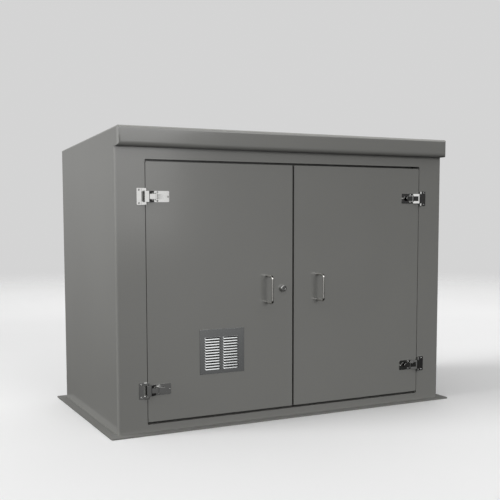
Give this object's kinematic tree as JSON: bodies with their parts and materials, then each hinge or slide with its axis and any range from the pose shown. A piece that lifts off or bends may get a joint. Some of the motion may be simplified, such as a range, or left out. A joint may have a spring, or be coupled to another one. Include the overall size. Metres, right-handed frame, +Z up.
{
  "type": "backflow preventer",
  "caption": "Insulated two-door outdoor cabinet with louvred vent, quick-release claw latches and key lock, around a reduced-pressure-zone backflow valve with shut-off valves.",
  "frame": {"origin": "bottom centre of the bounding box, on the plinth face of the base flange", "axes": "+X to the right along the front, +Y from the doors to the back wall, +Z up"},
  "size_m": [1.57, 0.865, 1.1593],
  "materials": {
    "coating": "semi-gloss gel coat, warm mid grey",
    "foam": "closed-cell insulation foam",
    "rubber": "matt black",
    "stainless": "polished stainless steel",
    "galvanised": "zinc plated",
    "bronze": "as-cast bronze, tumbled",
    "pipe": "hot-dip galvanised pipe",
    "lever": "blue vinyl-dipped steel",
    "plastic": "black acetal"
  },
  "bodies": {
    "cabinet": {"cabinet_shell": "coating", "insulation_liner": "foam", "door_seal": "rubber", "centre_post": "galvanised", "left_upper_keeper": "stainless", "left_lower_keeper": "stainless", "right_upper_keeper": "stainless", "right_lower_keeper": "stainless", "inlet_riser": "pipe", "outlet_riser": "pipe", "inlet_valve_body": "bronze", "outlet_valve_body": "bronze", "backflow_body": "bronze", "first_check_cover": "bronze", "second_check_cover": "bronze", "relief_valve_cover": "bronze", "drain_funnel": "plastic", "test_cock_1": "bronze", "test_cock_2": "bronze", "test_cock_3": "bronze", "test_cock_4": "bronze"},
    "left_door": {"left_door_skin": "coating", "left_door_core": "foam", "vent_grille": "stainless", "vent_mesh": "stainless", "left_handle": "stainless", "lock_body": "stainless", "lock_nut": "galvanised", "meeting_buffer_upper": "rubber", "meeting_buffer_lower": "rubber", "left_upper_latch_base": "stainless", "left_lower_latch_base": "stainless"},
    "right_door": {"right_door_skin": "coating", "right_door_core": "foam", "right_handle": "stainless", "bolt_bracket_upper": "galvanised", "bolt_bracket_lower": "galvanised", "right_upper_latch_base": "stainless", "right_lower_latch_base": "stainless"},
    "lock": {"lock_plug": "stainless", "lock_cam": "galvanised"},
    "right_bolt_upper": {"right_bolt_upper": "galvanised"},
    "right_bolt_lower": {"right_bolt_lower": "galvanised"},
    "left_upper_lever": {"left_upper_latch_lever": "stainless"},
    "left_upper_claw": {"left_upper_latch_claw": "stainless"},
    "left_lower_lever": {"left_lower_latch_lever": "stainless"},
    "left_lower_claw": {"left_lower_latch_claw": "stainless"},
    "right_upper_lever": {"right_upper_latch_lever": "stainless"},
    "right_upper_claw": {"right_upper_latch_claw": "stainless"},
    "right_lower_lever": {"right_lower_latch_lever": "stainless"},
    "right_lower_claw": {"right_lower_latch_claw": "stainless"},
    "inlet_valve": {"inlet_valve_stem": "stainless", "inlet_valve_lever": "lever"},
    "outlet_valve": {"outlet_valve_stem": "stainless", "outlet_valve_lever": "lever"},
    "first_check": {"first_check_poppet": "plastic"},
    "second_check": {"second_check_poppet": "plastic"},
    "relief_valve": {"relief_valve_disc": "plastic"}
  },
  "joints": [
    {"name": "left_door_swing", "type": "hinge", "parent": "cabinet", "child": "left_door", "pos_m": [-0.6335, -0.39, 0.534], "axis": [0, 0, -1], "range_deg": [0, 110]},
    {"name": "right_door_swing", "type": "hinge", "parent": "cabinet", "child": "right_door", "pos_m": [0.6335, -0.39, 0.534], "axis": [0, 0, 1], "range_deg": [0, 110]},
    {"name": "lock_turn", "type": "hinge", "parent": "left_door", "child": "lock", "pos_m": [-0.05, -0.3775, 0.535], "axis": [0, -1, 0], "range_deg": [0, 90]},
    {"name": "upper_bolt_slide", "type": "slide", "parent": "right_door", "child": "right_bolt_upper", "axis": [0, 0, 1], "range_m": [0, 0.025]},
    {"name": "lower_bolt_slide", "type": "slide", "parent": "right_door", "child": "right_bolt_lower", "axis": [0, 0, -1], "range_m": [0, 0.025]},
    {"name": "left_upper_lever_turn", "type": "hinge", "parent": "left_door", "child": "left_upper_lever", "pos_m": [-0.59, -0.388, 0.902], "axis": [0, 0, -1], "range_deg": [0, 90]},
    {"name": "left_upper_claw_slide", "type": "slide", "parent": "left_door", "child": "left_upper_claw", "axis": [-1, 0, 0], "range_m": [0, 0.004]},
    {"name": "left_lower_lever_turn", "type": "hinge", "parent": "left_door", "child": "left_lower_lever", "pos_m": [-0.59, -0.388, 0.167], "axis": [0, 0, -1], "range_deg": [0, 90]},
    {"name": "left_lower_claw_slide", "type": "slide", "parent": "left_door", "child": "left_lower_claw", "axis": [-1, 0, 0], "range_m": [0, 0.004]},
    {"name": "right_upper_lever_turn", "type": "hinge", "parent": "right_door", "child": "right_upper_lever", "pos_m": [0.59, -0.388, 0.902], "axis": [0, 0, 1], "range_deg": [0, 90]},
    {"name": "right_upper_claw_slide", "type": "slide", "parent": "right_door", "child": "right_upper_claw", "axis": [1, 0, 0], "range_m": [0, 0.004]},
    {"name": "right_lower_lever_turn", "type": "hinge", "parent": "right_door", "child": "right_lower_lever", "pos_m": [0.59, -0.388, 0.167], "axis": [0, 0, 1], "range_deg": [0, 90]},
    {"name": "right_lower_claw_slide", "type": "slide", "parent": "right_door", "child": "right_lower_claw", "axis": [1, 0, 0], "range_m": [0, 0.004]},
    {"name": "inlet_valve_turn", "type": "hinge", "parent": "cabinet", "child": "inlet_valve", "pos_m": [-0.275, 0.0225, 0.584], "axis": [0, 0, 1], "range_deg": [0, 90]},
    {"name": "outlet_valve_turn", "type": "hinge", "parent": "cabinet", "child": "outlet_valve", "pos_m": [0.275, 0.0225, 0.584], "axis": [0, 0, -1], "range_deg": [0, 90]},
    {"name": "first_check_lift", "type": "slide", "parent": "cabinet", "child": "first_check", "axis": [0, 0, 1], "range_m": [0, 0.012], "stiffness_N_per_m": 400, "springref_m": -0.005},
    {"name": "second_check_lift", "type": "slide", "parent": "cabinet", "child": "second_check", "axis": [0, 0, 1], "range_m": [0, 0.012], "stiffness_N_per_m": 400, "springref_m": -0.005},
    {"name": "relief_valve_drop", "type": "slide", "parent": "cabinet", "child": "relief_valve", "axis": [0, 0, -1], "range_m": [0, 0.008], "stiffness_N_per_m": 400, "springref_m": -0.005}
  ],
  "couplings": [
    {"joint": "left_upper_lever_turn", "follows": "left_upper_claw_slide", "rad_per_m": 392.7},
    {"joint": "left_lower_lever_turn", "follows": "left_lower_claw_slide", "rad_per_m": 392.7},
    {"joint": "right_upper_lever_turn", "follows": "right_upper_claw_slide", "rad_per_m": 392.7},
    {"joint": "right_lower_lever_turn", "follows": "right_lower_claw_slide", "rad_per_m": 392.7}
  ]
}
